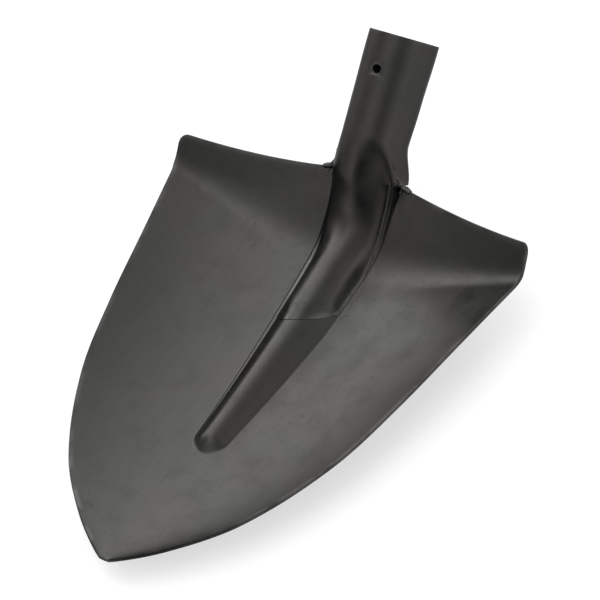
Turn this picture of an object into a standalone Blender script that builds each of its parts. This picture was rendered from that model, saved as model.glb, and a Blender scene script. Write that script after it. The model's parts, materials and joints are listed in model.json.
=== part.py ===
"""Pointed shovel head: a pressed steel blade, and a rolled socket whose tongue laps over its middle rib.

Run with: blender --background --python part.py
Lengths are in metres. The head lies on its back with its hollow face up. The tip points to -Y, and
the socket rises towards +Y. Shapes are worked out in the blade's own plane, in which the tip and the
two shoulders lie at height 0, and an empty then turns all of it to the way it rests.
"""

import math

import bmesh
import bpy
from mathutils import Vector

MM = 0.001

# Sheet and joints
SHEET = 2.0 * MM
JOINT_GAP = 0.3 * MM

# Blade, seen square to its plane
BLADE_WIDTH = 257.0 * MM
BEND_FROM_TIP = 259.5 * MM
TIP_WIDTH = 5.0 * MM
DISH_DEPTH = 29.5 * MM
DISH_FULL_FROM_TIP = 230.0 * MM
DISH_FALL = 0.8
# Half width along the blade, as shares of BEND_FROM_TIP and of half of BLADE_WIDTH
OUTLINE = ((0.08, 0.257), (0.2, 0.495), (0.4, 0.714), (0.6, 0.829), (0.8, 0.914), (1.0, 1.0))

# Tread, the turned-up rear edge, measured from the bend
TREAD_ANGLE = math.radians(44.0)
TREAD_AT_CORNER = 15.0 * MM
TREAD_AT_NECK = 32.8 * MM
TREAD_TAPER_IN = 0.4 * MM
BEND_AT_CORNER = 6.0 * MM
BEND_AT_NECK = 24.0 * MM
CORNER_ROUND = 5.0 * MM

# Frog, the rib pressed up along the middle of the blade. Its section has a round crown and a filleted foot
FROG_FROM_TIP = 92.0 * MM
FROG_NOSE_HALF_WIDTH = 11.0 * MM
FROG_WIDENING = 0.070
FROG_NOSE_HEIGHT = 6.5 * MM
FROG_CLIMB = 0.062
FROG_CROWN_ROUND = 0.5
FROG_FOOT_FILLET = 0.08

# Tongue of the socket, which laps over the frog. Its rounded end is thinned and a little askew
TONGUE_BEFORE_BEND = 53.0 * MM
TONGUE_POINT = 14.0 * MM
TONGUE_SKEW = 6.5 * MM
TONGUE_END_SHEET = 0.8 * MM

# Neck, where frog and tongue rise together into the socket, with a hollow on each side of the crest
NECK_BEFORE_BEND = 21.5 * MM
NECK_WIDTH = 44.0 * MM
NECK_PRESS = 3.9 * MM
NECK_PRESS_SPREAD = 1.5
NECK_PRESS_LENGTH = 25.0 * MM
NECK_ROUND_FROM = 0.85
HOLLOW_DEPTH = 4.4 * MM
HOLLOW_LENGTH = 24.0 * MM
HOLLOW_FLANK = math.radians(48.0)
HOLLOW_TOP_ANGLE = math.radians(26.0)
HOLLOW_FOOT_ANGLE = math.radians(67.0)
HOLLOW_OUTER_SPREAD = math.radians(20.0)
CREST_LEVEL_SHARE = 0.62
CREST_STEEP_SHARE = 0.22
FOOT_CLEARANCE = math.radians(2.2)
EDGE_CLIMB = math.radians(10.0)

# Socket, a rolled cone with an open seam at its back
SOCKET_BORE = 40.0 * MM
SOCKET_LENGTH = 86.8 * MM
SOCKET_ANGLE = math.radians(34.4)
SOCKET_TAPER = 1.6 * MM
TUBE_CLEARANCE = 1.0 * MM
FOOT_BEHIND_AXIS = 3.4 * MM
MOUTH_BAND = 8.0 * MM
SEAM_GAP = 1.2 * MM
NAIL_HOLE = 6.0 * MM
NAIL_HOLE_FROM_MOUTH = 22.6 * MM

# Ears, the sheet's two edges below the seam, which spread on either side of a V-shaped opening
EAR_FLARE = 5.4 * MM
EAR_START = math.radians(78.0)
EAR_SPREAD = math.radians(34.0)
EAR_END = math.radians(126.0)
SEAM_OPENS_OVER = 38.0 * MM

# Weld beads, on the tread's upper edge beside the ears
BEAD_RADIUS = 2.0 * MM
BEAD_LENGTH = 8.0 * MM
BEAD_CLEARANCE = 0.5 * MM
BEAD_RIPPLE = 0.12
BEAD_RIPPLES = 4

# How far the blade's plane leans, tip down, when the head lies on its back
REST_LEAN = math.radians(4.0)

# Rows and columns of the pressed sheets
ARCH_STEPS = 10
TIP_COLUMNS = 0.35
TOE_ROWS = (0.0, 0.02, 0.06, 0.12, 0.2, 0.32, 0.48, 0.64, 0.8, 0.93)
NOSE_ROWS = (0.0, 0.12, 0.3, 0.55, 0.8, 1.1, 1.6)
FROG_ROWS = ((0.2, 0.0), (0.4, 0.0), (0.6, 0.15), (0.8, 0.5))
TONGUE_ROWS = (0.0, 0.2, 0.4, 0.6, 0.8)
NECK_STEPS = 12
WING_COLUMNS = (0.02, 0.05, 0.12, 0.25, 0.4, 0.55, 0.7, 0.84, 0.93, 0.97, 1.0)
REAR_STEPS = 9
TUBE_ROWS = (0.0, 0.07, 0.15, 0.24, 0.34, 0.46, 0.6, 0.78, 1.0)
BEAD_SEGMENTS = 12


def smooth(value):
    """0 below 0, 1 above 1, with a level start and end."""
    t = min(max(value, 0.0), 1.0)
    return t * t * (3 - 2 * t)


def half_width(y):
    """Half of the blade's width, this far from the tip: a smooth curve through the outline's points."""
    if y >= BEND_FROM_TIP:
        return BLADE_WIDTH / 2 - TREAD_TAPER_IN * (y - BEND_FROM_TIP) / TREAD_AT_CORNER
    points = [(0.0, TIP_WIDTH / 2)]
    points += [(along * BEND_FROM_TIP, across * BLADE_WIDTH / 2) for along, across in OUTLINE]
    last = len(points) - 1
    i = max(k for k in range(last) if points[k][0] <= y)
    (y0, w0), (y1, w1) = points[i], points[i + 1]
    step = y1 - y0
    before = points[max(i - 1, 0)]
    after = points[min(i + 2, last)]
    slope0 = (w1 - before[1]) / (y1 - before[0])
    slope1 = (after[1] - w0) / (after[0] - y0)
    if i == 0:
        slope0 = 2 * (w1 - w0) / step - slope1
    t = (y - y0) / step
    return (
        (1 + 2 * t) * (1 - t) ** 2 * w0
        + t * (1 - t) ** 2 * step * slope0
        + t * t * (3 - 2 * t) * w1
        + t * t * (t - 1) * step * slope1
    )


def floor_height(x, y):
    """Height of the blade's upper face without the frog: the dish, and the bend up into the tread."""
    along = min(y / DISH_FULL_FROM_TIP, 1.0)
    depth = DISH_DEPTH * math.sin(math.pi / 2 * along**DISH_FALL)
    width = half_width(min(y, BEND_FROM_TIP))
    across = min(abs(x) / width, 1.0)
    bend = BEND_AT_NECK + (BEND_AT_CORNER - BEND_AT_NECK) * smooth(2 * abs(x) / BLADE_WIDTH)
    past = y - BEND_FROM_TIP
    if past <= -bend:
        rise = 0.0
    elif past < bend:
        rise = (past + bend) ** 2 / (4 * bend)
    else:
        rise = past
    return -depth * (1 - across**2) + math.tan(TREAD_ANGLE) * rise


def frog_half_width(y):
    return FROG_NOSE_HALF_WIDTH + FROG_WIDENING * max(y - FROG_FROM_TIP, 0.0)


def frog_height(y):
    return FROG_NOSE_HEIGHT + FROG_CLIMB * max(y - FROG_FROM_TIP, 0.0)


def frog_section(q):
    """Section of the frog: 1 on its crown, then almost straight flanks, and a fillet at its foot, q = 1."""
    fall = math.hypot(q, FROG_CROWN_ROUND) - FROG_CROWN_ROUND
    above = 1 - fall / (math.hypot(1, FROG_CROWN_ROUND) - FROG_CROWN_ROUND)
    return (above + math.hypot(above, FROG_FOOT_FILLET)) / 2


def frog_surface(x, y):
    """Height of the blade's upper face with the frog, whose nose is a rounded end."""
    inside = max(FROG_FROM_TIP + FROG_NOSE_HALF_WIDTH - y, 0.0)
    q = math.hypot(x / frog_half_width(y), inside / FROG_NOSE_HALF_WIDTH)
    return floor_height(x, y) + frog_height(y) * frog_section(q)


def tread_top(x):
    """Distance from the tip of the tread's upper edge: straight, and rounded off at the corner."""
    corner = BLADE_WIDTH / 2 - TREAD_TAPER_IN
    share = (corner - abs(x)) / (corner - NECK_WIDTH / 2)
    rise = (TREAD_AT_NECK - TREAD_AT_CORNER) * min(max(share, 0.0), 1.0)
    rounding = min(max(abs(x) - (corner - CORNER_ROUND), 0.0) / CORNER_ROUND, 1.0)
    cut = CORNER_ROUND * (1 - math.sqrt(1 - rounding**2))
    return BEND_FROM_TIP + TREAD_AT_CORNER + rise - cut


def socket_directions():
    """The way up the socket, and the way out of its front."""
    along = Vector((0, math.cos(SOCKET_ANGLE), math.sin(SOCKET_ANGLE)))
    front = Vector((0, -math.sin(SOCKET_ANGLE), math.cos(SOCKET_ANGLE)))
    return along, front


def tread_directions():
    """The way up the tread, and the way out of its back."""
    up = Vector((0, math.cos(TREAD_ANGLE), math.sin(TREAD_ANGLE)))
    back = Vector((0, math.sin(TREAD_ANGLE), -math.cos(TREAD_ANGLE)))
    return up, back


def bore_radius(up):
    """Inner radius of the tube, this far up from the neck. The band at the mouth is a true cylinder."""
    climb = min(up / (SOCKET_LENGTH - MOUTH_BAND), 1.0)
    return SOCKET_BORE / 2 - SOCKET_TAPER * (1 - climb)


def neck_axis_point():
    """The start of the socket's axis, in front of where the tread's edge meets the side of the neck."""
    y = tread_top(NECK_WIDTH / 2)
    return Vector((0, y, floor_height(NECK_WIDTH / 2, y))) + socket_directions()[1] * FOOT_BEHIND_AXIS


def tube_start():
    """How far up the tube starts, clear of the back of the tread's upper edge."""
    return SHEET * math.sin(abs(TREAD_ANGLE - SOCKET_ANGLE)) + TUBE_CLEARANCE


def foot_angle(up):
    """Angle from the front at which the front of the tube ends: past the side at the neck."""
    past = math.asin(FOOT_BEHIND_AXIS / bore_radius(0.0))
    return math.pi / 2 + past * (1 - smooth(up / NECK_PRESS_LENGTH))


def hollow(up, angle):
    """Depth of the hollow on each side of the neck's crest. It starts on the tube and widens downwards."""
    down = min(max(1 - up / HOLLOW_LENGTH, 0.0), 1.0)
    valley = HOLLOW_TOP_ANGLE + (HOLLOW_FOOT_ANGLE - HOLLOW_TOP_ANGLE) * down
    flank = smooth(abs(angle) / min(valley, HOLLOW_FLANK))
    rim = 1 - smooth((abs(angle) - valley) / HOLLOW_OUTER_SPREAD)
    return HOLLOW_DEPTH * smooth(down) * flank * rim


def tube_point(up, angle, inset=0.0):
    """A point of the socket's inner face, or that much inside it. The neck is pressed in, the ears flare out."""
    flare = 1 - smooth(up / NECK_PRESS_LENGTH)
    radius = bore_radius(up) - inset
    ear = EAR_FLARE * flare * smooth((abs(angle) - EAR_START) / EAR_SPREAD)
    width = radius + (NECK_WIDTH / 2 - SHEET - inset - radius) * flare + ear - hollow(up, angle)
    press = NECK_PRESS * flare * smooth(NECK_PRESS_SPREAD * math.cos(angle))
    depth = radius - press + ear - hollow(up, angle)
    along, front = socket_directions()
    out = front * depth * math.cos(angle) + Vector((width * math.sin(angle), 0, 0))
    return neck_axis_point() + along * up + out


def frog_point(y, angle):
    """A point of the blade's upper face on the frog. The angle runs over it, from -90 to 90 degrees."""
    x = math.sin(angle) * min(frog_half_width(y), TIP_COLUMNS * half_width(y))
    return Vector((x, y, frog_surface(x, y)))


def bezier(points, t):
    a, b, c, d = points
    s = 1 - t
    return a * s**3 + b * 3 * t * s**2 + c * 3 * t**2 * s + d * t**3


def neck_point(share, angle):
    """A point of the blade's upper face on the neck, from the frog (0) to the inside of the socket (1)."""
    turn = foot_angle(0.0) / (math.pi / 2)
    crown, here, side = [tube_point(0.0, a * turn, JOINT_GAP) for a in (0.0, angle, math.pi / 2)]
    along, front = socket_directions()
    neck_y = BEND_FROM_TIP - NECK_BEFORE_BEND
    frog_crown, frog_side = [frog_point(neck_y, a) for a in (0.0, math.pi / 2)]
    width = frog_side.x + (side.x - frog_side.x) * smooth(share)
    y = neck_y + (side.y - neck_y) * share
    foot = Vector((0, y, floor_height(width, y)))
    foot += (Vector((0, side.y, side.z)) - foot) * smooth(2 * share - 1)
    reach = (crown - frog_crown).length
    level = frog_crown + Vector((0, CREST_LEVEL_SHARE * reach, 0))
    steep = crown - along * CREST_STEEP_SHARE * reach
    crest = bezier((frog_crown, level, steep, crown), share)
    mix = smooth(share / NECK_ROUND_FROM)
    tube_lift = (here - side).dot(front) / (crown - side).dot(front)
    lift = (1 - mix) * frog_section(abs(math.sin(angle))) + mix * tube_lift
    out = (1 - mix) * math.sin(angle) + mix * here.x / side.x
    return foot + (crest - foot) * lift + Vector((out * width, 0, 0))


def raised(point, u, angle, distance):
    """The point of a surface, moved this far out along its normal."""
    step = 0.0005
    turn = 0.01
    low = max(angle - turn, -math.pi / 2)
    high = min(angle + turn, math.pi / 2)
    along = point(u + step, angle) - point(u - step, angle)
    across = point(u, high) - point(u, low)
    return point(u, angle) + across.cross(along).normalized() * distance


def dipped(row_y, dip, angle):
    """Where a row crosses this column, when it dips towards the tip as the tongue's end does."""
    return row_y - dip * (TONGUE_POINT * math.cos(angle) ** 2 - TONGUE_SKEW * math.sin(angle))


def tongue_rows():
    """Rows under and over the tongue: distances from the tip, with their share of the dip of its end."""
    start = BEND_FROM_TIP - TONGUE_BEFORE_BEND
    run = TONGUE_BEFORE_BEND - NECK_BEFORE_BEND
    return [(start + run * share, (1 - share) ** 2) for share in TONGUE_ROWS]


def frog_rows():
    """The same for the blade below the tongue."""
    rows = [(share * FROG_FROM_TIP, 0.0) for share in TOE_ROWS]
    rows += [(FROG_FROM_TIP + share * FROG_NOSE_HALF_WIDTH, 0.0) for share in NOSE_ROWS]
    start = rows[-1][0]
    run = BEND_FROM_TIP - TONGUE_BEFORE_BEND - start
    return rows + [(start + run * share, dip) for share, dip in FROG_ROWS]


def arch_angles(limit=math.pi / 2):
    return [limit * i / ARCH_STEPS for i in range(-ARCH_STEPS, ARCH_STEPS + 1)]


def strip_angles(share=0.0):
    """Angles over the arch that the socket's sheet covers: its edges climb the sides of the neck."""
    return arch_angles(math.pi / 2 - FOOT_CLEARANCE - EDGE_CLIMB * smooth(2 * share))


def lower_row(row_y, dip):
    """A row of the blade from edge to edge, below the neck."""
    row = [frog_point(dipped(row_y, dip, angle), angle) for angle in arch_angles()]
    wings = {}
    for side, foot in ((-1, row[0]), (1, row[-1])):
        wings[side] = []
        for share in WING_COLUMNS:
            y = row_y + side * dip * TONGUE_SKEW * (1 - share)
            x = abs(foot.x) + (half_width(y) - abs(foot.x)) * share
            wings[side].append(Vector((side * x, y, frog_surface(x, y))))
    return wings[-1][::-1] + row + wings[1]


def upper_row(share):
    """A row of the blade from edge to edge, beside the neck and up the tread."""
    row = [neck_point(share, angle) for angle in arch_angles()]
    foot = row[-1]
    neck_y = BEND_FROM_TIP - NECK_BEFORE_BEND
    foot_offset = foot.y - neck_y - (tread_top(foot.x) - neck_y) * share
    wing = []
    for column in WING_COLUMNS:
        y = foot.y
        for _ in range(12):
            x = foot.x + (half_width(y) - foot.x) * column
            y = neck_y + (tread_top(x) - neck_y) * share
        join = max(1 - (x - foot.x) / BEND_AT_CORNER, 0.0)
        y += join * foot_offset
        z = floor_height(x, y) + join * (foot.z - floor_height(foot.x, foot.y))
        wing.append(Vector((x, y, z)))
    return [Vector((-p.x, p.y, p.z)) for p in reversed(wing)] + row + wing


def tube_angles(up):
    """Angles round the tube from one edge of the sheet to the other. The seam opens towards the neck."""
    turn = foot_angle(up) / (math.pi / 2)
    over = [angle * turn for angle in strip_angles(1.0)]
    seam = math.pi - SEAM_GAP / 2 / bore_radius(up)
    last = EAR_END + (seam - EAR_END) * smooth(up / SEAM_OPENS_OVER)
    rear = [over[-1] + (last - over[-1]) * i / REAR_STEPS for i in range(1, REAR_STEPS + 1)]
    return [-angle for angle in reversed(rear)] + over + rear


def mesh_from(bm, name):
    mesh = bpy.data.meshes.new(name)
    bm.to_mesh(mesh)
    bm.free()
    return mesh


def new_object(name, bm, material, collection, parent):
    obj = bpy.data.objects.new(name, mesh_from(bm, name))
    obj.data.materials.append(material)
    collection.objects.link(obj)
    obj.parent = parent
    return obj


def shade_round(obj, angle=math.radians(35.0)):
    obj.data.shade_smooth()
    obj.data.set_sharp_from_angle(angle=angle)


def thicken(obj, side):
    """Gives an open surface the sheet's thickness: side -1 behind its normals, 1 in front of them."""
    solidify = obj.modifiers.new("Sheet", "SOLIDIFY")
    solidify.thickness = SHEET
    solidify.offset = side
    solidify.use_even_offset = True
    return solidify


def add_grid(bm, rows):
    """Quads between rows of vertices."""
    for low, high in zip(rows, rows[1:]):
        for i in range(len(low) - 1):
            bm.faces.new((low[i], low[i + 1], high[i + 1], high[i]))


def make_blade(material, collection, parent):
    """One pressed sheet. Its frog runs on as an arch under the socket's tongue and neck."""
    bm = bmesh.new()
    rows = [lower_row(y, dip) for y, dip in frog_rows() + tongue_rows()]
    rows += [upper_row(i / NECK_STEPS) for i in range(NECK_STEPS + 1)]
    add_grid(bm, [[bm.verts.new(point) for point in row] for row in rows])
    obj = new_object("blade", bm, material, collection, parent)
    thicken(obj, -1.0)
    shade_round(obj)
    return obj


def make_socket(material, collection, parent, cutters):
    """One rolled sheet: the tongue and the neck are an open arch, and the tube closes behind it."""
    points = []
    for row_y, dip in tongue_rows():
        points.append([raised(frog_point, dipped(row_y, dip, a), a, JOINT_GAP) for a in strip_angles()])
    for i in range(NECK_STEPS):
        share = i / NECK_STEPS
        points.append([raised(neck_point, share, a, JOINT_GAP) for a in strip_angles(share)])
    climb = SOCKET_LENGTH - MOUTH_BAND - tube_start()
    heights = [tube_start() + share * climb for share in TUBE_ROWS] + [SOCKET_LENGTH]
    bm = bmesh.new()
    arch = [[bm.verts.new(point) for point in row] for row in points]
    tube = [[bm.verts.new(tube_point(up, angle)) for angle in tube_angles(up)] for up in heights]
    front = slice(REAR_STEPS, REAR_STEPS + 2 * ARCH_STEPS + 1)
    add_grid(bm, arch + [tube[0][front]])
    add_grid(bm, tube)
    bm.verts.index_update()
    thinned = [vert.index for vert in arch[0]]
    halfway = [vert.index for row in arch[1:3] for vert in row]
    obj = new_object("socket", bm, material, collection, parent)
    group = obj.vertex_groups.new(name="Full sheet")
    group.add(range(len(obj.data.vertices)), 1.0, "REPLACE")
    group.add(halfway, 0.5, "REPLACE")
    group.add(thinned, 0.0, "REPLACE")
    sheet = thicken(obj, 1.0)
    sheet.vertex_group = group.name
    sheet.thickness_vertex_group = TONGUE_END_SHEET / SHEET
    cut = obj.modifiers.new("Nail hole", "BOOLEAN")
    cut.operation = "DIFFERENCE"
    cut.object = nail_hole_cutter(cutters, parent)
    shade_round(obj)
    return obj


def nail_hole_cutter(collection, parent):
    along, front = socket_directions()
    outside = SOCKET_BORE / 2 + SHEET
    bm = bmesh.new()
    bmesh.ops.create_cone(
        bm, cap_ends=True, segments=20, radius1=NAIL_HOLE / 2, radius2=NAIL_HOLE / 2, depth=outside
    )
    obj = bpy.data.objects.new("nail_hole", mesh_from(bm, "nail_hole"))
    collection.objects.link(obj)
    obj.parent = parent
    obj.location = neck_axis_point() + along * (SOCKET_LENGTH - NAIL_HOLE_FROM_MOUTH) + front * outside
    obj.rotation_euler = (SOCKET_ANGLE, 0, 0)
    obj.hide_render = True
    obj.display_type = "WIRE"
    return obj


def make_bead(name, side, material, collection, parent):
    """A weld bead on the tread's upper edge, in the corner that the edge makes with an ear of the socket."""
    up, back = tread_directions()
    steps = [EAR_START + (EAR_END - EAR_START) * i / REAR_STEPS for i in range(REAR_STEPS + 1)]
    ear = max(tube_point(tube_start(), angle).x for angle in steps) + SHEET
    bm = bmesh.new()
    bmesh.ops.create_uvsphere(bm, u_segments=BEAD_SEGMENTS, v_segments=BEAD_SEGMENTS, radius=1.0)
    for vert in bm.verts:
        share = (vert.co.z + 1) / 2
        ripple = BEAD_RIPPLE * math.sin(math.pi * BEAD_RIPPLES * share) ** 2
        radius = BEAD_RADIUS * math.sqrt(1 - vert.co.z**4) * (1 - ripple)
        around = Vector((0, vert.co.x, vert.co.y)).normalized()
        x = ear + BEAD_CLEARANCE + share * BEAD_LENGTH
        y = tread_top(x)
        edge = Vector((x, y, floor_height(x, y))) + back * SHEET / 2
        point = edge + up * (BEAD_CLEARANCE + BEAD_RADIUS) + around * radius
        vert.co = (side * point.x, point.y, point.z)
    bmesh.ops.recalc_face_normals(bm, faces=bm.faces)
    obj = new_object(name, bm, material, collection, parent)
    shade_round(obj, math.radians(60.0))
    return obj


def clear_scene():
    for obj in list(bpy.data.objects):
        bpy.data.objects.remove(obj, do_unlink=True)


def steel(name, colour, roughness, metallic):
    material = bpy.data.materials.new(name)
    material.use_nodes = True
    shader = material.node_tree.nodes["Principled BSDF"]
    shader.inputs["Base Color"].default_value = (*colour, 1)
    shader.inputs["Roughness"].default_value = roughness
    shader.inputs["Metallic"].default_value = metallic
    return material


def set_down(rest, objects):
    """Leans the head back, then puts the bottom centre of its bounding box at the origin."""
    rest.rotation_euler = (REST_LEAN, 0, 0)
    graph = bpy.context.evaluated_depsgraph_get()
    points = []
    for obj in objects:
        shown = obj.evaluated_get(graph)
        points += [shown.matrix_world @ vertex.co for vertex in shown.data.vertices]
    low = [min(point[i] for point in points) for i in range(3)]
    high = [max(point[i] for point in points) for i in range(3)]
    rest.location = (-(low[0] + high[0]) / 2, -(low[1] + high[1]) / 2, -low[2])


def main():
    clear_scene()
    parts = bpy.data.collections.new("pointed_shovel_head")
    cutters = bpy.data.collections.new("cutters")
    cutters.hide_render = True
    for collection in (parts, cutters):
        bpy.context.scene.collection.children.link(collection)
    rest = bpy.data.objects.new("rest_frame", None)
    parts.objects.link(rest)
    blade_steel = steel("blade_steel", (0.075, 0.074, 0.07), 0.45, 0.6)
    socket_steel = steel("socket_steel", (0.068, 0.067, 0.064), 0.42, 0.6)
    weld_metal = steel("weld_metal", (0.09, 0.088, 0.084), 0.55, 0.7)
    objects = [
        make_blade(blade_steel, parts, rest),
        make_socket(socket_steel, parts, rest, cutters),
        make_bead("shoulder_weld_left", -1, weld_metal, parts, rest),
        make_bead("shoulder_weld_right", 1, weld_metal, parts, rest),
    ]
    set_down(rest, objects)


main()
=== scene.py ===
"""Looks of the pointed shovel head: finely pressed sheets, rippled welds and dark tempered steel.

The sheets follow the same shape as the part, worked out in the blade's own plane: the tip is at the
origin, the blade runs along +Y, and its hollow face looks up. to_world() then lays them on the floor.
"""

import json
import math
import random

import bmesh
import bpy
from mathutils import Euler, Matrix, Vector, kdtree, noise


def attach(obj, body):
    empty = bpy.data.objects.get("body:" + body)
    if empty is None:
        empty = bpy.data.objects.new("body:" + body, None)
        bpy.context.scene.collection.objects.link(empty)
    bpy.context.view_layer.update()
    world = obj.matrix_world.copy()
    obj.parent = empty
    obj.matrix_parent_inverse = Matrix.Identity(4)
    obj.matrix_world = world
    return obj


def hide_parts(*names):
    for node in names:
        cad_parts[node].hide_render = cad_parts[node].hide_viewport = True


MM = 0.001

# Sheet, the gap between sheets, and the rounding and wear of cut edges
SHEET = 2.0 * MM
JOINT_GAP = 0.3 * MM
EDGE_ROUND = 0.5 * MM
EDGE_SEGMENTS = 3
EDGE_ANGLE = math.radians(50.0)
EDGE_TRIM = 0.15 * MM
TIP_TRIM = 0.4 * MM
EDGE_WEAR_FROM = 0.4 * SHEET
EDGE_WEAR_REACH = 2.6 * MM
EDGE_POINTS_APART = 0.5 * MM

# Unevenness of pressed sheet: how much in all, and each wave's share, size and seed
UNEVEN = 0.35 * MM
UNEVEN_WAVES = ((0.7, 42.0 * MM, 3.0), (0.3, 17.0 * MM, 8.0))
UNEVEN_TUBE_SIZE = 20.0 * MM
UNEVEN_TUBE_SEED = 5.0
UNEVEN_FADES_OVER = 20.0 * MM

# Blade
BLADE_WIDTH = 257.0 * MM
BEND_FROM_TIP = 259.5 * MM
TIP_WIDTH = 5.0 * MM
DISH_DEPTH = 29.5 * MM
DISH_FULL_FROM_TIP = 230.0 * MM
DISH_FALL = 0.8
OUTLINE = ((0.08, 0.257), (0.2, 0.495), (0.4, 0.714), (0.6, 0.829), (0.8, 0.914), (1.0, 1.0))

# Tread
TREAD_ANGLE = math.radians(44.0)
TREAD_AT_CORNER = 15.0 * MM
TREAD_AT_NECK = 32.8 * MM
TREAD_TAPER_IN = 0.4 * MM
BEND_AT_CORNER = 6.0 * MM
BEND_AT_NECK = 24.0 * MM
CORNER_ROUND = 5.0 * MM

# Frog: the raised rib in the middle of the blade
FROG_FROM_TIP = 92.0 * MM
FROG_NOSE_HALF_WIDTH = 11.0 * MM
FROG_WIDENING = 0.070
FROG_NOSE_HEIGHT = 6.5 * MM
FROG_CLIMB = 0.062
FROG_CROWN_ROUND = 0.5
FROG_FOOT_FILLET = 0.08
FROG_NOSE_LENGTH = 1.6 * FROG_NOSE_HALF_WIDTH

# Ledge along the left foot of the frog, which widens from the nose, and the right foot's limit
LEDGE_HEIGHT = 1.9 * MM
LEDGE_RISER = 2.2 * MM
LEDGE_ROUND = 0.3 * MM
LEDGE_IN = 0.3 * MM
LEDGE_IN_GROWTH = 0.006
LEDGE_IN_MOST = 1.0 * MM
FOOT_OUT = 0.018
FOOT_OUT_FROM = 115.0 * MM
RIGHT_FOOT_MOST = 19.6 * MM

# Tongue: the socket's end, which laps over the frog and thins out at its end and sides
TONGUE_BEFORE_BEND = 53.0 * MM
TONGUE_POINT = 14.0 * MM
TONGUE_SKEW = 6.5 * MM
TONGUE_END_SHEET = 0.3 * MM
TONGUE_END_GAP = 0.05 * MM
TONGUE_THINNED = 9.0 * MM
TONGUE_DIP_GROWTH = 1.5
SIDE_THINNED = 12.0 * MM
SIDE_THICKENS = 2.5

# Neck, with its crest and a hollow on each side of it
NECK_BEFORE_BEND = 21.5 * MM
NECK_WIDTH = 44.0 * MM
NECK_PRESS = 3.9 * MM
NECK_PRESS_SPREAD = 1.5
NECK_PRESS_LENGTH = 25.0 * MM
NECK_ROUND_FROM = 0.85
HOLLOW_DEPTH = 5.4 * MM
HOLLOW_TOP = 24.0 * MM
HOLLOW_FLANK = math.radians(48.0)
HOLLOW_TOP_ANGLE = math.radians(26.0)
HOLLOW_FOOT_ANGLE = math.radians(68.0)
HOLLOW_OUTER_SPREAD = math.radians(24.0)
HOLLOW_LEFT_SHARE = 0.25
CREST_LEVEL_SHARE = 0.62
CREST_STEEP_SHARE = 0.22
FOOT_CLEARANCE = math.radians(2.2)
EDGE_CLIMB = math.radians(1.0)
EDGE_CLIMBS_BY = 0.5

# Socket
SOCKET_BORE = 40.0 * MM
SOCKET_LENGTH = 86.8 * MM
SOCKET_ANGLE = math.radians(34.4)
SOCKET_TAPER = 1.6 * MM
TUBE_CLEARANCE = 1.0 * MM
FOOT_BEHIND_AXIS = 3.4 * MM
MOUTH_BAND = 8.0 * MM
SEAM_GAP = 1.2 * MM
NAIL_HOLE = 6.0 * MM
NAIL_HOLE_FROM_MOUTH = 22.6 * MM
NAIL_HOLE_PATCH = 5.4 * MM
NAIL_HOLE_DRAWN_IN = 0.45 * MM
NAIL_HOLE_RINGS = 4

# Ears: the flared back edges of the tube's foot, with the seam opening between them
EAR_FLARE = 5.4 * MM
EAR_START = math.radians(78.0)
EAR_SPREAD = math.radians(34.0)
EAR_END = math.radians(126.0)
SEAM_OPENS_OVER = 38.0 * MM

# Welds: from the ear down to the tread's upper edge and out along it
WELD_EAR_UP = 5.5 * MM
WELD_EAR_ANGLE = math.radians(86.0)
WELD_ALONG_TREAD = (24.0 * MM, 28.5 * MM, 33.0 * MM)
WELD_PAST_EDGE = 0.4 * MM
WELD_SUNK = 0.2 * MM
WELD_RADIUS = 1.7 * MM
WELD_RIPPLES = 7
WELD_RIPPLE_SHARE = 0.16
WELD_BLUNT_END = 0.02
WELD_STEPS = 40
WELD_SEGMENTS = 16
WELD_SLOPE_STEP = 0.02
WELD_ROUGH = 0.35 * MM
WELD_ROUGH_SIZE = 1.6 * MM

# Spatter: drops on the tread, and every third one on the tube. Ranges are in millimetres and degrees
SPATTER = 16
SPATTER_ACROSS = (22.5, 37.0)
SPATTER_BELOW_EDGE = 2.4
SPATTER_UP_TUBE = (4.0, 13.0)
SPATTER_ROUND_TUBE = (72, 96)
SPATTER_RADIUS = (0.3, 0.75)
SPATTER_STRETCH = ((0.8, 1.5), (0.8, 1.3), (0.6, 0.9))
SPATTER_LUMPS = 0.25

# Fineness of the sheets, and small steps that slopes are measured over
CELL = 2.4 * MM
ARCH_STEPS = 30
REAR_STEPS = 20
TIP_COLUMNS = 0.35
TIP_CROWDING = 1.3
WING_STEPS = 44
WING_EVEN_SHARE = 0.15
WING_ROUNDS = 12
SLOPE_STEP = 0.5 * MM
SLOPE_TURN = 0.01

# Steel: tones of its colour, and how close its patterns are packed. The rolling lines run along the sheet
STEEL_TONE = 0.046
STEEL_TINT = (0.5, 0.5, 0.5, 1)
WARM = (1.02, 0.985, 0.945)
COOL = (0.97, 0.98, 0.94)
DARK = (1.0, 0.98, 0.94)
DARK_SHARE = 0.8
BRIGHT = (1.0, 0.98, 0.95)
BRIGHT_SHARE = 2.2
CLOUDS = 13.0
MOTTLE = 62.0
SPECKS = 420.0
FINE_GRAIN = 1300.0
ROLLING_LINES = (520.0, 9.0, 520.0)

# Steel: how rough each piece is, and the depth of the dents in it
BLADE_ROUGHNESS = 0.34
SOCKET_ROUGHNESS = 0.33
WELD_ROUGHNESS = 0.42
WELD_TONE = 1.5 * STEEL_TONE
ROUGHNESS_RANGE = 0.04
SPECKS_ROUGHER = 0.12
WORN_SMOOTHER = 0.08
DENT_DEPTH = 0.25 * MM
MOTTLE_DEPTH = 0.02 * MM
LINE_DEPTH = 0.004 * MM
PIT_DEPTH = 0.006 * MM
WELD_PIT_DEPTH = 0.02 * MM
FINE_GRAIN_SHARE = 0.3

# Floor: the share of it that is plain white to the camera and in reflections, and its size and paint
FLOOR_WHITE = 0.61
FLOOR_SIZE = 8.0
FLOOR_PAINT = (0.9, 0.9, 0.9, 1)
FLOOR_ROUGHNESS = 0.9

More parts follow.
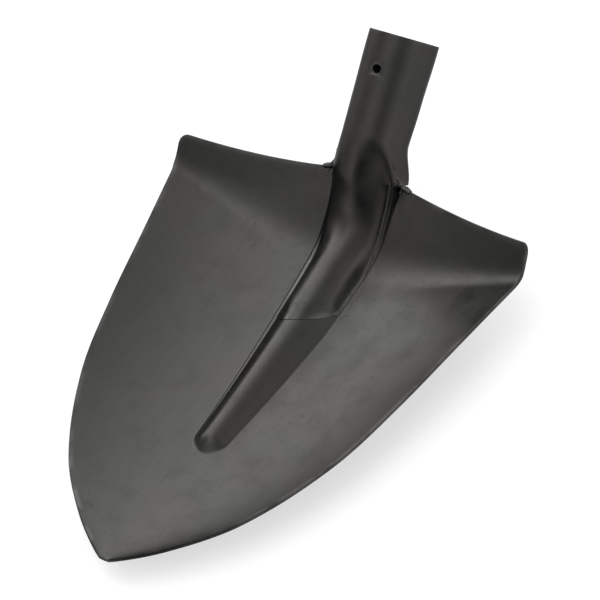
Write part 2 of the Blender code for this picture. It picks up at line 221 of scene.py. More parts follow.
# Soft lights: turn from the socket's side towards the right, height in degrees, and strength
SOFT_LIGHTS = (
    (288.0, 8.0, 2.6),
    (320.0, 20.0, 2.0),
    (280.0, 35.0, 2.8),
    (345.0, 35.0, 2.4),
    (30.0, 30.0, 1.5),
    (78.0, 22.0, 1.9),
    (108.0, 12.0, 0.9),
    (130.0, 40.0, 0.4),
    (200.0, 35.0, 0.5),
    (214.0, 12.0, 1.2),
    (300.0, 62.0, 1.9),
    (180.0, 62.0, 1.3),
    (0.0, 88.0, 1.9),
)

# How tight each soft light is, as a power of the cosine
LIGHT_SPREAD = 12.0

# Camera
CAMERA_PLACE = Vector((0.93263, -0.7866, 1.30119))
CAMERA_TURN = Euler([math.radians(a) for a in (42.0025, 14.0772, 34.0013)])
CAMERA_LENS = 178.62

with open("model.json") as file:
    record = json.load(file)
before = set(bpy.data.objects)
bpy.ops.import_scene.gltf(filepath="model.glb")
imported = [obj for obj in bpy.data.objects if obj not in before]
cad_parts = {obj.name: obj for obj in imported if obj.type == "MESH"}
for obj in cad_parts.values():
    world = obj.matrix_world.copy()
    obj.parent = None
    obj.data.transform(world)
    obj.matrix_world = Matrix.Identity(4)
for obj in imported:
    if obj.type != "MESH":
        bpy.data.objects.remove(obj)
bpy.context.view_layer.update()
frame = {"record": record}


def smooth(value):
    """0 below 0, 1 above 1, with a level start and end."""
    t = min(max(value, 0.0), 1.0)
    return t * t * (3 - 2 * t)


def steps(start, end, count):
    """Evenly spaced numbers from the start to the end, both of them included."""
    return [start + (end - start) * i / count for i in range(count + 1)]


def half_width(y):
    """Half of the blade's width, this far from the tip."""
    if y >= BEND_FROM_TIP:
        return BLADE_WIDTH / 2 - TREAD_TAPER_IN * (y - BEND_FROM_TIP) / TREAD_AT_CORNER
    points = [(0.0, TIP_WIDTH / 2)]
    points += [(along * BEND_FROM_TIP, across * BLADE_WIDTH / 2) for along, across in OUTLINE]
    last = len(points) - 1
    i = max(k for k in range(last) if points[k][0] <= max(y, 0.0))
    (y0, w0), (y1, w1) = points[i], points[i + 1]
    step = y1 - y0
    before = points[max(i - 1, 0)]
    after = points[min(i + 2, last)]
    slope0 = (w1 - before[1]) / (y1 - before[0])
    slope1 = (after[1] - w0) / (after[0] - y0)
    if i == 0:
        slope0 = 2 * (w1 - w0) / step - slope1
    t = (y - y0) / step
    return (
        (1 + 2 * t) * (1 - t) ** 2 * w0
        + t * (1 - t) ** 2 * step * slope0
        + t * t * (3 - 2 * t) * w1
        + t * t * (t - 1) * step * slope1
    )


def floor_height(x, y):
    """Height of the blade's upper face without the frog."""
    along = min(max(y, 0.0) / DISH_FULL_FROM_TIP, 1.0)
    depth = DISH_DEPTH * math.sin(math.pi / 2 * along**DISH_FALL)
    across = min(abs(x) / half_width(min(y, BEND_FROM_TIP)), 1.0)
    bend = BEND_AT_NECK + (BEND_AT_CORNER - BEND_AT_NECK) * smooth(2 * abs(x) / BLADE_WIDTH)
    past = y - BEND_FROM_TIP
    if past <= -bend:
        rise = 0.0
    elif past < bend:
        rise = (past + bend) ** 2 / (4 * bend)
    else:
        rise = past
    return -depth * (1 - across**2) + math.tan(TREAD_ANGLE) * rise


def frog_half_width(y):
    return FROG_NOSE_HALF_WIDTH + FROG_WIDENING * max(y - FROG_FROM_TIP, 0.0)


def frog_height(y):
    return FROG_NOSE_HEIGHT + FROG_CLIMB * max(y - FROG_FROM_TIP, 0.0)


def frog_section(q):
    """1 on the rounded crown, falling almost straight to the foot, q = 1, which runs out in a fillet."""
    fall = math.hypot(q, FROG_CROWN_ROUND) - FROG_CROWN_ROUND
    above = 1 - fall / (math.hypot(1, FROG_CROWN_ROUND) - FROG_CROWN_ROUND)
    return (above + math.hypot(above, FROG_FOOT_FILLET)) / 2


def foot(y, x):
    """Distance of the frog's foot from the middle, on the side that x lies on.

    On the left it takes in the ledge.
    """
    out = frog_half_width(y) + FOOT_OUT * max(y - FOOT_OUT_FROM, 0.0)
    return out if x < 0 else min(out, RIGHT_FOOT_MOST)


def flank_foot(y, x):
    """The same for the foot of the frog's flank, which on the left is inside the ledge."""
    if x >= 0:
        return foot(y, x)
    inset = LEDGE_IN + LEDGE_IN_GROWTH * max(y - FROG_FROM_TIP, 0.0)
    return frog_half_width(y) - min(inset, LEDGE_IN_MOST)


def ridge_height(x, y):
    """Height of the frog with its ledge above the dish."""
    inside = max(FROG_FROM_TIP + FROG_NOSE_HALF_WIDTH - y, 0.0) / FROG_NOSE_HALF_WIDTH
    frog = frog_height(y) * frog_section(math.hypot(x / flank_foot(y, x), inside))
    past = (math.hypot(x / foot(y, x), inside) - 1) * foot(y, x)
    ledge = LEDGE_HEIGHT * smooth(-x / flank_foot(y, x)) * (1 - smooth(past / LEDGE_RISER + 1))
    return (frog + ledge + math.hypot(frog - ledge, LEDGE_ROUND) - LEDGE_ROUND) / 2


def frog_surface(x, y):
    return floor_height(x, y) + ridge_height(x, y)


def tread_top(x):
    """Distance of the tread's top edge from the tip, this far from the middle."""
    corner = BLADE_WIDTH / 2 - TREAD_TAPER_IN
    share = (corner - abs(x)) / (corner - NECK_WIDTH / 2)
    rise = (TREAD_AT_NECK - TREAD_AT_CORNER) * min(max(share, 0.0), 1.0)
    rounding = min(max(abs(x) - (corner - CORNER_ROUND), 0.0) / CORNER_ROUND, 1.0)
    cut = CORNER_ROUND * (1 - math.sqrt(1 - rounding**2))
    return BEND_FROM_TIP + TREAD_AT_CORNER + rise - cut


SOCKET_UP = Vector((0, math.cos(SOCKET_ANGLE), math.sin(SOCKET_ANGLE)))
SOCKET_FRONT = Vector((0, -math.sin(SOCKET_ANGLE), math.cos(SOCKET_ANGLE)))
TREAD_BACK = Vector((0, math.sin(TREAD_ANGLE), -math.cos(TREAD_ANGLE)))
NECK_TOP = tread_top(NECK_WIDTH / 2)
SOCKET_FOOT = Vector((0, NECK_TOP, floor_height(NECK_WIDTH / 2, NECK_TOP))) + SOCKET_FRONT * FOOT_BEHIND_AXIS
NECK_Y = BEND_FROM_TIP - NECK_BEFORE_BEND
TUBE_START = SHEET * math.sin(TREAD_ANGLE - SOCKET_ANGLE) + TUBE_CLEARANCE
HOLE_CENTRE = SOCKET_LENGTH - NAIL_HOLE_FROM_MOUTH


def bore_radius(up):
    """Radius of the tube's inner face, which narrows below the band at its mouth."""
    climb = min(up / (SOCKET_LENGTH - MOUTH_BAND), 1.0)
    return SOCKET_BORE / 2 - SOCKET_TAPER * (1 - climb)


def foot_angle(up):
    """Angle on the tube at which the neck's arch ends, a little behind the middle of its side."""
    past = math.asin(FOOT_BEHIND_AXIS / bore_radius(0.0))
    return math.pi / 2 + past * (1 - smooth(up / NECK_PRESS_LENGTH))


def hollow(up, angle):
    """How deep the neck is pressed in beside its crest, most on the right.

    The hollow starts on the tube and widens downwards.
    """
    down = min(max(1 - up / HOLLOW_TOP, 0.0), 1.0)
    valley = HOLLOW_TOP_ANGLE + (HOLLOW_FOOT_ANGLE - HOLLOW_TOP_ANGLE) * down
    inner = smooth(abs(angle) / min(valley, HOLLOW_FLANK))
    outer = 1 - smooth((abs(angle) - valley) / HOLLOW_OUTER_SPREAD)
    depth = HOLLOW_DEPTH * (HOLLOW_LEFT_SHARE if angle < 0 else 1.0)
    return depth * smooth(down) * inner * outer


def tube_point(up, angle, inset=0.0):
    """A point of the socket's inner face, or that much inside it."""
    flare = 1 - smooth(up / NECK_PRESS_LENGTH)
    radius = bore_radius(up) - inset
    ear = EAR_FLARE * flare * smooth((abs(angle) - EAR_START) / EAR_SPREAD)
    width = radius + (NECK_WIDTH / 2 - SHEET - inset - radius) * flare + ear
    press = NECK_PRESS * max(1 - up / NECK_PRESS_LENGTH, 0.0) ** 2
    depth = radius - press * smooth(NECK_PRESS_SPREAD * math.cos(angle)) + ear
    front = depth * math.cos(angle) - hollow(up, angle)
    out = SOCKET_FRONT * front + Vector((width * math.sin(angle), 0, 0))
    return SOCKET_FOOT + SOCKET_UP * up + out


def frog_point(y, angle):
    """A point of the blade's upper face on the frog, from its left foot to its right one."""
    x = math.sin(angle) * min(foot(y, angle), TIP_COLUMNS * half_width(y))
    return Vector((x, y, frog_surface(x, y)))


def bezier(points, t):
    a, b, c, d = points
    s = 1 - t
    return a * s**3 + b * 3 * t * s**2 + c * 3 * t**2 * s + d * t**3


def neck_point(share, angle):
    """A point of the blade's upper face on the neck, from the frog (0) to the inside of the socket (1)."""
    turn = foot_angle(0.0) / (math.pi / 2)
    crown, here, side = [tube_point(0.0, a * turn, JOINT_GAP) for a in (0.0, angle, math.pi / 2)]
    frog_crown = frog_point(NECK_Y, 0.0)
    start = foot(NECK_Y, angle)
    width = start + (side.x - start) * smooth(share)
    y = NECK_Y + (side.y - NECK_Y) * share
    base = Vector((0, y, floor_height(width, y)))
    base += (Vector((0, side.y, side.z)) - base) * smooth(2 * share - 1)
    reach = (crown - frog_crown).length
    level = frog_crown + Vector((0, CREST_LEVEL_SHARE * reach, 0))
    rise = (tube_point(SLOPE_STEP, 0.0) - tube_point(0.0, 0.0)).normalized()
    steep = crown - rise * CREST_STEEP_SHARE * reach
    crest = bezier((frog_crown, level, steep, crown), share)
    mix = smooth(share / NECK_ROUND_FROM)
    tube_lift = (here - side).dot(SOCKET_FRONT) / (crown - side).dot(SOCKET_FRONT)
    ridge = ridge_height(math.sin(angle) * start, NECK_Y) / ridge_height(0.0, NECK_Y)
    lift = (1 - mix) * ridge + mix * tube_lift
    out = (1 - mix) * math.sin(angle) + mix * here.x / side.x
    return base + (crest - base) * lift + Vector((out * width, 0, 0))


def raised(point, u, angle, distance):
    """The point of a surface, moved this far out along its normal."""
    low = max(angle - SLOPE_TURN, -math.pi / 2)
    high = min(angle + SLOPE_TURN, math.pi / 2)
    along = point(u + SLOPE_STEP, angle) - point(u - SLOPE_STEP, angle)
    across = point(u, high) - point(u, low)
    return point(u, angle) + across.cross(along).normalized() * distance


def dipped(row_y, dip, angle):
    """Where a row crosses this column, when it dips towards the tip as the tongue's end does."""
    return row_y - dip * (TONGUE_POINT * math.cos(angle) ** 2 - TONGUE_SKEW * math.sin(angle))


def rows_between(start, end):
    """How many rows of cells lie between two distances from the tip."""
    return max(round((end - start) / CELL), 2)


def tongue_rows():
    """Rows under and over the tongue: distances from the tip, with their share of the dip of its end."""
    start = BEND_FROM_TIP - TONGUE_BEFORE_BEND
    shares = steps(0.0, 1.0, rows_between(start, NECK_Y))[:-1]
    return [(start + (NECK_Y - start) * share, (1 - share) ** 2) for share in shares]


def frog_rows():
    """The same for the blade below the tongue, closer together at the tip and at the frog's nose."""
    nose_end = FROG_FROM_TIP + FROG_NOSE_LENGTH
    start = BEND_FROM_TIP - TONGUE_BEFORE_BEND
    shares = steps(0.0, 1.0, rows_between(0.0, FROG_FROM_TIP))[:-1]
    toe = [TIP_TRIM + (FROG_FROM_TIP - TIP_TRIM) * share**TIP_CROWDING for share in shares]
    nose = steps(FROG_FROM_TIP, nose_end, 2 * rows_between(FROG_FROM_TIP, nose_end))[:-1]
    rows = [(y, 0.0) for y in toe + nose]
    for share in steps(0.0, 1.0, rows_between(nose_end, start))[:-1]:
        dip = max(2 * share - 1, 0.0) ** TONGUE_DIP_GROWTH
        rows.append((nose_end + (start - nose_end) * share, dip))
    return rows


def arch_angles():
    """Angles over the frog or the neck, from the left foot to the right one."""
    return steps(-math.pi / 2, math.pi / 2, 2 * ARCH_STEPS)


def strip_angles(y, share=0.0):
    """Angles over the arch that the socket's sheet covers: to the frog's foot, then up the neck's sides."""
    end = math.pi / 2 - FOOT_CLEARANCE - EDGE_CLIMB
    limits = []
    for side in (-1, 1):
        start = min(math.asin(flank_foot(y, side) / foot(y, side)), math.pi / 2 - FOOT_CLEARANCE)
        limits.append(side * (start + (end - start) * smooth(share / EDGE_CLIMBS_BY)))
    return steps(*limits, 2 * ARCH_STEPS)


def wing_shares():
    """Places of the columns from the frog's foot (0) to the blade's edge (1), closest at both ends."""
    places = steps(0.0, 1.0, WING_STEPS)[1:]
    return [WING_EVEN_SHARE * t + (1 - WING_EVEN_SHARE) * smooth(t) for t in places]


def lower_row(row_y, dip):
    """A row of the blade's upper face, from edge to edge over the frog."""
    row = [frog_point(dipped(row_y, dip, angle), angle) for angle in arch_angles()]
    wings = {}
    for side, end in ((-1, row[0]), (1, row[-1])):
        wings[side] = []
        for share in wing_shares():
            y = row_y + side * dip * TONGUE_SKEW * (1 - share)
            x = abs(end.x) + (half_width(y) - EDGE_TRIM - abs(end.x)) * share
            wings[side].append(Vector((side * x, y, frog_surface(side * x, y))))
    return wings[-1][::-1] + row + wings[1]


def upper_row(share):
    """The same over the neck, this share of the way from the frog to the tread's top edge."""
    row = [neck_point(share, angle) for angle in arch_angles()]
    wings = {}
    for side, end in ((-1, row[0]), (1, row[-1])):
        start = abs(end.x)
        offset = end.y - NECK_Y - (tread_top(start) - NECK_Y) * share
        wings[side] = []
        for column in wing_shares():
            y = end.y
            for _ in range(WING_ROUNDS):
                x = start + (half_width(y) - EDGE_TRIM - start) * column
                y = NECK_Y + (tread_top(x) - NECK_Y) * share
            join = max(1 - (x - start) / BEND_AT_CORNER, 0.0)
            y += join * offset
            z = floor_height(x, y) + join * (end.z - floor_height(start, end.y))
            wings[side].append(Vector((side * x, y, z)))
    return wings[-1][::-1] + row + wings[1]


def tube_angles(up):
    """Angles round the tube: over the arch, and behind it on both sides as far as the seam."""
    turn = foot_angle(up) / (math.pi / 2)
    over = [angle * turn for angle in strip_angles(NECK_Y, 1.0)]
    seam = math.pi - SEAM_GAP / 2 / bore_radius(up)
    last = EAR_END + (seam - EAR_END) * smooth(up / SEAM_OPENS_OVER)
    rear = steps(over[-1], last, REAR_STEPS)[1:]
    return [-angle for angle in reversed(rear)] + over + rear


def to_world():
    """The turn and shift from the blade's plane to the frame, read from the socket mouth's mount."""
    mount = frame["record"]["mounts"][0]
    axis = Vector(mount["axis"])
    lean = math.atan2(axis.z, axis.y) - SOCKET_ANGLE
    turn = Matrix.Rotation(lean, 4, "X")
    rim = SOCKET_FOOT + SOCKET_UP * SOCKET_LENGTH + SOCKET_FRONT * (SOCKET_BORE + SHEET) / 2
    return Matrix.Translation(Vector(mount["pos_m"]) - turn @ rim) @ turn


def grid_mesh(bm, rows):
    """Faces between rows of points, which are all of one length."""
    verts = [[bm.verts.new(point) for point in row] for row in rows]
    for low, high in zip(verts, verts[1:]):
        for i in range(len(low) - 1):
            bm.faces.new((low[i], low[i + 1], high[i + 1], high[i]))
    return verts


def uneven(point, size, seed):
    """Between 0 and 1, changing slowly from place to place."""
    return 0.5 + 0.5 * noise.noise(point / size + Vector((seed, seed, seed)))


def wobble(bm, fade):
    """Lifts the sheet a little here and there, as pressed sheet is never quite true."""
    for vert in bm.verts:
        lift = sum(share * uneven(vert.co, size, seed) for share, size, seed in UNEVEN_WAVES)
        vert.co.z += UNEVEN * lift * fade(vert.co)


def border_tree(bm):
    """The open edges of a surface, as points close together."""
    points = []
    for edge in bm.edges:
        if len(edge.link_faces) == 1:
            start, end = [vert.co for vert in edge.verts]
            count = max(round((end - start).length / EDGE_POINTS_APART), 1)
            points += [start.lerp(end, i / count) for i in range(count)]
    tree = kdtree.KDTree(len(points))
    for i, point in enumerate(points):
        tree.insert(point, i)
    tree.balance()
    return tree


def finished(name, bm, side, thin=None):
    """Thickens an open surface, rounds its cut edges and returns the object with its final mesh.

    thin gives each vertex a weight, from 0 for the thinnest sheet to 1 for the full one.
    """
    border = border_tree(bm)
    mesh = bpy.data.meshes.new(name)
    bm.to_mesh(mesh)
    bm.free()
    obj = bpy.data.objects.new(name, mesh)
    bpy.context.scene.collection.objects.link(obj)
    solidify = obj.modifiers.new("Sheet", "SOLIDIFY")
    solidify.thickness = SHEET
    solidify.offset = side
    solidify.use_even_offset = True
    if thin:
        group = obj.vertex_groups.new(name="Full sheet")
        for index, weight in thin.items():
            group.add([index], weight, "REPLACE")
        solidify.vertex_group = group.name
        solidify.thickness_vertex_group = TONGUE_END_SHEET / SHEET
    bevel = obj.modifiers.new("Edge", "BEVEL")
    bevel.width = EDGE_ROUND
    bevel.segments = EDGE_SEGMENTS
    bevel.limit_method = "ANGLE"
    bevel.angle_limit = EDGE_ANGLE
    graph = bpy.context.evaluated_depsgraph_get()
    final = bpy.data.meshes.new_from_object(obj.evaluated_get(graph))
    obj.modifiers.clear()
    obj.data = final
    final.shade_smooth()
    final.set_sharp_from_angle(angle=EDGE_ANGLE)
    wear = final.attributes.new("edge_wear", "FLOAT", "POINT")
    for vert in final.vertices:
        distance = border.find(vert.co)[2]
        wear.data[vert.index].value = 1 - smooth((distance - EDGE_WEAR_FROM) / EDGE_WEAR_REACH)
    return obj


def make_blade():
    bm = bmesh.new()
    rows = [lower_row(y, dip) for y, dip in frog_rows() + tongue_rows()]
    rows += [upper_row(share) for share in steps(0.0, 1.0, rows_between(NECK_Y, NECK_TOP))]
    grid_mesh(bm, rows)
    wobble(bm, lambda point: 1.0)
    return finished("blade_sheet", bm, -1.0)


def tube_surface(up, angle, inset=0.0):
    """A point of the tube's inner face, which is a little out of round above the neck."""
    point = tube_point(up, angle)
    dent = UNEVEN * uneven(point, UNEVEN_TUBE_SIZE, UNEVEN_TUBE_SEED) * smooth(up / NECK_PRESS_LENGTH)
    return tube_point(up, angle, dent + inset)


def punch_hole(bm, tube, places):
    """Opens the nail hole in the tube's front, with the sheet drawn in round it."""
    rows = [i for i, row in enumerate(places) if abs(row[0][0] - HOLE_CENTRE) < NAIL_HOLE_PATCH]
    radius = bore_radius(HOLE_CENTRE)
    middle = places[rows[0]]
    columns = [i for i, (_, angle) in enumerate(middle) if abs(angle) * radius < NAIL_HOLE_PATCH]
    low, high, left, right = rows[0], rows[-1], columns[0], columns[-1]
    for row in range(low + 1, high):
        for column in range(left + 1, right):
            bm.verts.remove(tube[row][column])
    ring = [(low, column) for column in range(left, right)]
    ring += [(row, right) for row in range(low, high)]
    ring += [(high, column) for column in range(right, left, -1)]
    ring += [(row, left) for row in range(high, low, -1)]
    outer = [tube[row][column] for row, column in ring]
    for step in steps(0.0, 1.0, NAIL_HOLE_RINGS)[1:]:
        inner = []
        for row, column in ring:
            up, angle = places[row][column]
            turn = math.atan2(angle * radius, up - HOLE_CENTRE)
            up += (HOLE_CENTRE + NAIL_HOLE / 2 * math.cos(turn) - up) * step
            angle += (NAIL_HOLE / 2 * math.sin(turn) / radius - angle) * step
            inner.append(bm.verts.new(tube_surface(up, angle, NAIL_HOLE_DRAWN_IN * smooth(step))))
        for i, vert in enumerate(inner):
            following = (i + 1) % len(inner)
            bm.faces.new((outer[i], outer[following], inner[following], vert))
        outer = inner


def laid_on(point, places, end, side):
    """A row of the tongue, close to the blade near its end and sides, and its shares of full thickness."""
    row = [point(u, angle) for u, angle in places]
    shares = []
    for here in row:
        across = min((here - row[0]).length, (here - row[-1]).length)
        shares.append(min(end, max(smooth(across / SIDE_THINNED), side)))
    gaps = [TONGUE_END_GAP + (JOINT_GAP - TONGUE_END_GAP) * share for share in shares]
    return [raised(point, *place, gap) for place, gap in zip(places, gaps)], shares


def make_socket():
    rows = []
    for row_y, dip in tongue_rows():
        end = smooth((row_y - (BEND_FROM_TIP - TONGUE_BEFORE_BEND)) / TONGUE_THINNED)
        places = [(dipped(row_y, dip, angle), angle) for angle in strip_angles(row_y)]
        rows.append(laid_on(frog_point, places, end, 0.0))
    for share in steps(0.0, 1.0, rows_between(NECK_Y, NECK_TOP))[:-1]:
        places = [(share, angle) for angle in strip_angles(NECK_Y, share)]
        side = smooth(SIDE_THICKENS * share - (SIDE_THICKENS - 1))
        rows.append(laid_on(neck_point, places, 1.0, side))
    bm = bmesh.new()
    arch = grid_mesh(bm, [row for row, _ in rows])
    heights = steps(TUBE_START, SOCKET_LENGTH - EDGE_TRIM, 2 * rows_between(TUBE_START, SOCKET_LENGTH))
    places = [[(up, angle) for angle in tube_angles(up)] for up in heights]
    tube = grid_mesh(bm, [[tube_surface(*place) for place in row] for row in places])
    punch_hole(bm, tube, places)
    last = arch[-1]
    first = tube[0][REAR_STEPS : REAR_STEPS + len(last)]
    for i in range(len(last) - 1):
        bm.faces.new((last[i], last[i + 1], first[i + 1], first[i]))
    wobble(bm, lambda point: 1 - smooth((point.y - NECK_TOP) / UNEVEN_FADES_OVER))
    bm.verts.index_update()
    thin = {vert.index: 1.0 for vert in bm.verts}
    for row, (_, shares) in zip(arch, rows):
        for vert, share in zip(row, shares):
            thin[vert.index] = share
    return finished("socket_sheet", bm, 1.0, thin)


def weld_path(side, t):
    """From the ear of the socket down to the tread's upper edge and out along it."""
    points = [tube_point(WELD_EAR_UP, side * WELD_EAR_ANGLE, -SHEET)]
    for x in WELD_ALONG_TREAD:
        y = tread_top(x)
        points.append(Vector((side * x, y + WELD_PAST_EDGE, floor_height(x, y) - WELD_SUNK)))
    return bezier(points, t)


def make_weld(name, side):
    """A rippled run of weld metal, with drops of spatter on the sheets round it."""
    rng = random.Random(name)
    bm = bmesh.new()
    rings = []
    for i in range(WELD_STEPS + 1):
        t = i / WELD_STEPS
        centre = weld_path(side, t)
        before = weld_path(side, max(t - WELD_SLOPE_STEP, 0.0))
        after = weld_path(side, min(t + WELD_SLOPE_STEP, 1.0))
        along = (after - before).normalized()
        across = along.cross(TREAD_BACK).normalized()
        normal = along.cross(across)
        ripple = 1 + WELD_RIPPLE_SHARE * abs(math.sin(math.pi * WELD_RIPPLES * t))
        radius = WELD_RADIUS * ripple * max(1 - (2 * t - 1) ** 4, WELD_BLUNT_END) ** 0.5
        ring = []
        for k in range(WELD_SEGMENTS):
            turn = 2 * math.pi * k / WELD_SEGMENTS
            out = across * math.cos(turn) + normal * math.sin(turn)
            rough = WELD_ROUGH * noise.noise((centre + out * radius) / WELD_ROUGH_SIZE)
            ring.append(bm.verts.new(centre + out * (radius + rough)))
        rings.append(ring)
    for low, high in zip(rings, rings[1:]):
        for k in range(WELD_SEGMENTS):
            following = (k + 1) % WELD_SEGMENTS
            bm.faces.new((low[k], low[following], high[following], high[k]))
    bm.faces.new(rings[0])
    bm.faces.new(rings[-1])
    for i in range(SPATTER):
        x = rng.uniform(*SPATTER_ACROSS) * MM
        y = tread_top(x) - abs(rng.gauss(0.0, SPATTER_BELOW_EDGE)) * MM
        place = Vector((side * x, y, floor_height(x, y)))
        if i % 3 == 0:
            up = rng.uniform(*SPATTER_UP_TUBE) * MM
            place = tube_point(up, side * math.radians(rng.uniform(*SPATTER_ROUND_TUBE)), -SHEET)
        size = rng.uniform(*SPATTER_RADIUS) * MM
        drop = bmesh.ops.create_icosphere(bm, subdivisions=3, radius=size)["verts"]
        stretch = Vector([rng.uniform(*limits) for limits in SPATTER_STRETCH])
        for vert in drop:
            lump = 1 + SPATTER_LUMPS * noise.noise(vert.co / size + place / MM)
            vert.co = place + Vector([a * b * lump for a, b in zip(vert.co, stretch)])
    bmesh.ops.recalc_face_normals(bm, faces=bm.faces)
    mesh = bpy.data.meshes.new(name)
    bm.to_mesh(mesh)
    bm.free()
    mesh.shade_smooth()
    obj = bpy.data.objects.new(name, mesh)
    bpy.context.scene.collection.objects.link(obj)
    return obj


def noise_value(tree, place, scale, detail=3.0, stretch=(1.0, 1.0, 1.0)):
    """A cloud pattern in the object's own space. The stretch packs it closer along each axis."""
    mapping = tree.nodes.new("ShaderNodeMapping")
    mapping.inputs["Scale"].default_value = stretch
    texture = tree.nodes.new("ShaderNodeTexNoise")
    texture.inputs["Scale"].default_value = scale
    texture.inputs["Detail"].default_value = detail
    tree.links.new(place, mapping.inputs["Vector"])
    tree.links.new(mapping.outputs["Vector"], texture.inputs["Vector"])
    return texture.outputs["Fac"]


def ranged(tree, value, start, end, low=0.0, high=1.0):
    """The value from start to end, mapped to low to high with soft ends."""
    node = tree.nodes.new("ShaderNodeMapRange")
    node.interpolation_type = "SMOOTHSTEP"
    for name, number in (("From Min", start), ("From Max", end), ("To Min", low), ("To Max", high)):
        node.inputs[name].default_value = number
    tree.links.new(value, node.inputs["Value"])
    return node.outputs["Result"]


def combined(tree, operation, first, second):
    """Two values, or a value and a number, through a Math node."""
    node = tree.nodes.new("ShaderNodeMath")
    node.operation = operation
    for socket, value in zip(node.inputs, (first, second)):
        if isinstance(value, float):
            socket.default_value = value
        else:
            tree.links.new(value, socket)
    return node.outputs["Value"]


def blended(tree, factor, first, second):
    """A colour between two, each a colour or a socket."""
    node = tree.nodes.new("ShaderNodeMix")
    node.data_type = "RGBA"
    tree.links.new(factor, node.inputs["Factor"])
    for socket, value in ((node.inputs[6], first), (node.inputs[7], second)):
        if isinstance(value, tuple):
            socket.default_value = (*value, 1)
        else:
            tree.links.new(value, socket)
    return node.outputs[2]


def bumped(tree, height, distance, under=None):
    """A normal bent by the height, on top of another one."""
    node = tree.nodes.new("ShaderNodeBump")
    node.inputs["Distance"].default_value = distance
    tree.links.new(height, node.inputs["Height"])
    if under:
        tree.links.new(under, node.inputs["Normal"])
    return node.outputs["Normal"]


def tinted(tone, tint):
    return tuple(tone * part for part in tint)


def steel(name, tone, roughness, pit_depth):
    """Dark tempered steel: cloudy scale, faint rolling lines along the sheet, fine pits and worn edges."""
    material = bpy.data.materials.new(name)
    material.use_nodes = True
    tree = material.node_tree
    shader = tree.nodes["Principled BSDF"]
    place = tree.nodes.new("ShaderNodeTexCoord").outputs["Object"]
    clouds = noise_value(tree, place, CLOUDS)
    mottle = noise_value(tree, place, MOTTLE, 5.0)
    specks = noise_value(tree, place, SPECKS, 2.0)
    lines = noise_value(tree, place, 1.0, 4.0, ROLLING_LINES)
    fine = noise_value(tree, place, FINE_GRAIN, 2.0)
    wear = tree.nodes.new("ShaderNodeAttribute")
    wear.attribute_name = "edge_wear"
    dark = tinted(tone * DARK_SHARE, DARK)
    bright = tinted(tone * BRIGHT_SHARE, BRIGHT)
    colour = blended(tree, ranged(tree, clouds, 0.38, 0.62), tinted(tone, COOL), tinted(tone, WARM))
    colour = blended(tree, ranged(tree, mottle, 0.5, 0.75, 0.0, 0.4), colour, dark)
    colour = blended(tree, ranged(tree, lines, 0.45, 0.7, 0.0, 0.3), colour, dark)
    colour = blended(tree, ranged(tree, specks, 0.64, 0.78, 0.0, 0.5), colour, dark)
    worn = combined(tree, "MULTIPLY", wear.outputs["Fac"], ranged(tree, mottle, 0.42, 0.6))
    colour = blended(tree, combined(tree, "MULTIPLY", worn, 0.5), colour, bright)
    tree.links.new(colour, shader.inputs["Base Color"])
    smoothest, roughest = roughness - ROUGHNESS_RANGE, roughness + ROUGHNESS_RANGE
    rough = ranged(tree, mottle, 0.35, 0.65, smoothest, roughest)
    rough = combined(tree, "ADD", rough, ranged(tree, specks, 0.6, 0.74, 0.0, SPECKS_ROUGHER))
    rough = combined(tree, "SUBTRACT", rough, combined(tree, "MULTIPLY", worn, WORN_SMOOTHER))
    tree.links.new(rough, shader.inputs["Roughness"])
    dents = bumped(tree, clouds, DENT_DEPTH)
    scale = bumped(tree, mottle, MOTTLE_DEPTH, dents)
    pits = bumped(tree, specks, pit_depth, scale)
    rolled = bumped(tree, lines, LINE_DEPTH, pits)
    grain = bumped(tree, fine, FINE_GRAIN_SHARE * pit_depth, rolled)
    tree.links.new(grain, shader.inputs["Normal"])
    shader.inputs["Metallic"].default_value = 1.0
    shader.inputs["Specular Tint"].default_value = STEEL_TINT
    return material


def dress(obj, material, node):
    """Lays a piece in the frame, gives it its material and hides the part that it replaces."""
    obj.data.transform(to_world())
    obj.data.materials.clear()
    obj.data.materials.append(material)
    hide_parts(node)
    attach(obj, "root")


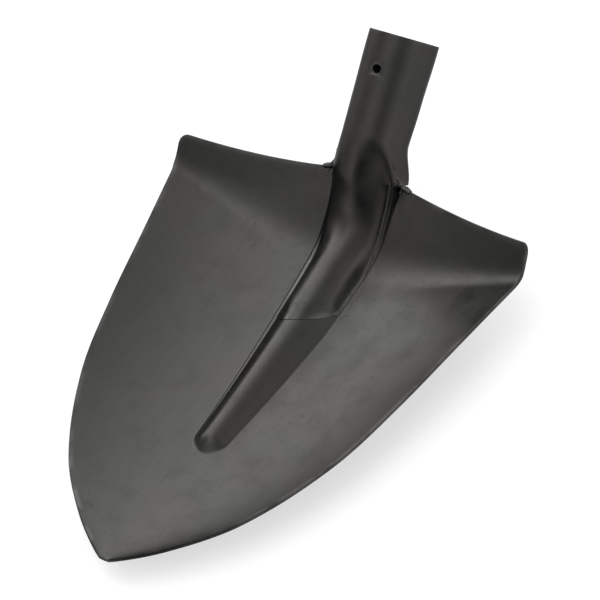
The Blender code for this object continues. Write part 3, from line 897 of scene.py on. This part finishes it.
def make_floor():
    """A white floor, which keeps part of the shadow that falls on it."""
    bpy.ops.mesh.primitive_plane_add(size=FLOOR_SIZE)
    floor = bpy.context.object
    floor.name = "floor"
    material = bpy.data.materials.new("floor")
    material.use_nodes = True
    tree = material.node_tree
    paint = tree.nodes["Principled BSDF"]
    paint.inputs["Base Color"].default_value = FLOOR_PAINT
    paint.inputs["Roughness"].default_value = FLOOR_ROUGHNESS
    white = tree.nodes.new("ShaderNodeEmission")
    path = tree.nodes.new("ShaderNodeLightPath")
    seen = combined(tree, "MAXIMUM", path.outputs["Is Camera Ray"], path.outputs["Is Glossy Ray"])
    seen = combined(tree, "MAXIMUM", seen, path.outputs["Is Transmission Ray"])
    mix = tree.nodes.new("ShaderNodeMixShader")
    tree.links.new(combined(tree, "MULTIPLY", seen, FLOOR_WHITE), mix.inputs["Fac"])
    tree.links.new(paint.outputs["BSDF"], mix.inputs[1])
    tree.links.new(white.outputs["Emission"], mix.inputs[2])
    tree.links.new(mix.outputs["Shader"], tree.nodes["Material Output"].inputs["Surface"])
    floor.data.materials.append(material)


def make_light():
    """A studio of soft lights far off, each a round glow in the world that fades out over some 40 degrees."""
    world = bpy.data.worlds.new("studio")
    bpy.context.scene.world = world
    world.use_nodes = True
    tree = world.node_tree
    place = tree.nodes.new("ShaderNodeTexCoord").outputs["Generated"]
    total = None
    for turn, height, strength in SOFT_LIGHTS:
        side, up = math.radians(turn), math.radians(height)
        towards = tree.nodes.new("ShaderNodeVectorMath")
        towards.operation = "DOT_PRODUCT"
        towards.inputs[1].default_value = (
            math.cos(up) * math.sin(side),
            math.cos(up) * math.cos(side),
            math.sin(up),
        )
        tree.links.new(place, towards.inputs[0])
        facing = combined(tree, "MAXIMUM", towards.outputs["Value"], 0.0)
        shape = combined(tree, "POWER", facing, LIGHT_SPREAD)
        glow = combined(tree, "MULTIPLY", shape, strength)
        total = combined(tree, "ADD", total, glow) if total else glow
    tree.links.new(total, tree.nodes["Background"].inputs["Strength"])
    tree.nodes["Background"].inputs["Color"].default_value = (1, 1, 1, 1)


def make_camera():
    data = bpy.data.cameras.new("camera")
    data.lens = CAMERA_LENS
    camera = bpy.data.objects.new("camera", data)
    bpy.context.scene.collection.objects.link(camera)
    camera.location = CAMERA_PLACE
    camera.rotation_euler = CAMERA_TURN
    bpy.context.scene.camera = camera
    bpy.context.scene.view_settings.view_transform = "Standard"


blade_steel = steel("blade_steel", STEEL_TONE, BLADE_ROUGHNESS, PIT_DEPTH)
socket_steel = steel("socket_steel", STEEL_TONE, SOCKET_ROUGHNESS, PIT_DEPTH)
weld_metal = steel("weld_metal", WELD_TONE, WELD_ROUGHNESS, WELD_PIT_DEPTH)
dress(make_blade(), blade_steel, "blade")
dress(make_socket(), socket_steel, "socket")
dress(make_weld("weld_run_left", -1), weld_metal, "shoulder_weld_left")
dress(make_weld("weld_run_right", 1), weld_metal, "shoulder_weld_right")
make_floor()
make_light()
make_camera()
